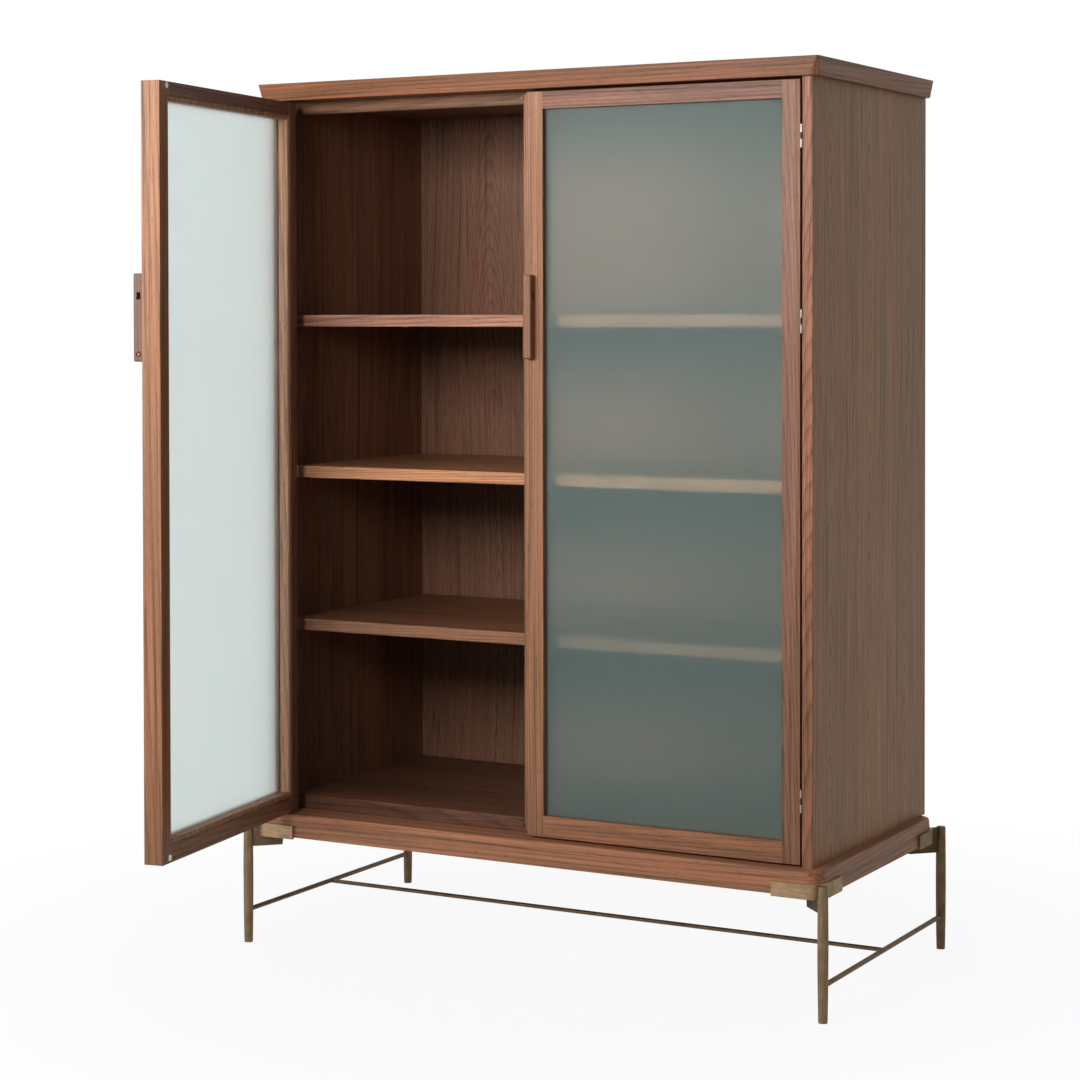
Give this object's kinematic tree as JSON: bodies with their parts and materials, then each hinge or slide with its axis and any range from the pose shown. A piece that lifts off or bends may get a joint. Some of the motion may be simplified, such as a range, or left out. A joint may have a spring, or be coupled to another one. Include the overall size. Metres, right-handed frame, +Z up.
{
  "type": "two-door glass-front cabinet",
  "caption": "Tall walnut cabinet with hinged frosted-glass doors and shelves inside, standing on slim bronze legs joined by stretcher rods.",
  "frame": {"origin": "on the floor, at the plan centre of the carcass", "axes": "+X to the right seen from the front, -Y towards the front, +Z up"},
  "size_m": [1.0756, 0.9732, 1.466],
  "materials": {
    "walnut": "oiled satin, straight grain",
    "frosted_glass": "acid-etched, grey-green",
    "antique_bronze": "brushed and patinated bronze",
    "satin_nickel": "satin nickel plate",
    "dark_brass": "darkened brass",
    "copper": "turned copper",
    "zinc_steel": "zinc plated",
    "magnet_steel": "nickel plated magnet"
  },
  "bodies": {
    "carcass": {"back_panel": "walnut", "base_front_rail": "walnut", "base_left_rail": "walnut", "base_rear_rail": "walnut", "base_right_rail": "walnut", "bottom_panel": "walnut", "bracket_bolts": "zinc_steel", "catch_keepers": "dark_brass", "front_left_bracket": "antique_bronze", "front_left_gusset": "antique_bronze", "front_left_leg": "antique_bronze", "front_right_bracket": "antique_bronze", "front_right_gusset": "antique_bronze", "front_right_leg": "antique_bronze", "head_rail": "walnut", "hinge_frame_leaves": "satin_nickel", "hinge_pins": "satin_nickel", "left_side_panel": "walnut", "left_stretcher": "antique_bronze", "long_stretcher": "antique_bronze", "lower_shelf": "walnut", "middle_shelf": "walnut", "rear_left_bracket": "antique_bronze", "rear_left_gusset": "antique_bronze", "rear_left_leg": "antique_bronze", "rear_right_bracket": "antique_bronze", "rear_right_gusset": "antique_bronze", "rear_right_leg": "antique_bronze", "right_side_panel": "walnut", "right_stretcher": "antique_bronze", "shelf_pins": "satin_nickel", "top_front_edging": "walnut", "top_left_edging": "walnut", "top_panel": "walnut", "top_right_edging": "walnut", "upper_shelf": "walnut"},
    "left_door": {"left_door_bead_brads": "dark_brass", "left_door_beads": "walnut", "left_door_bottom_rail": "walnut", "left_door_catch_magnets": "magnet_steel", "left_door_glass": "frosted_glass", "left_door_handle": "walnut", "left_door_handle_stud": "copper", "left_door_hinge_leaves": "satin_nickel", "left_door_hinge_stile": "walnut", "left_door_meeting_stile": "walnut", "left_door_top_rail": "walnut"},
    "right_door": {"right_door_bead_brads": "dark_brass", "right_door_beads": "walnut", "right_door_bottom_rail": "walnut", "right_door_catch_magnets": "magnet_steel", "right_door_closing_strip": "walnut", "right_door_glass": "frosted_glass", "right_door_handle": "walnut", "right_door_handle_stud": "copper", "right_door_hinge_leaves": "satin_nickel", "right_door_hinge_stile": "walnut", "right_door_meeting_stile": "walnut", "right_door_top_rail": "walnut"}
  },
  "joints": [
    {"name": "left_door_hinge", "type": "hinge", "parent": "carcass", "child": "left_door", "pos_m": [-0.4805, -0.2455, 0.83], "axis": [0, 0, -1], "range_deg": [-81.5, 98.5]},
    {"name": "right_door_hinge", "type": "hinge", "parent": "carcass", "child": "right_door", "pos_m": [0.4805, -0.2455, 0.83], "axis": [0, 0, 1], "range_deg": [0, 180]}
  ]
}
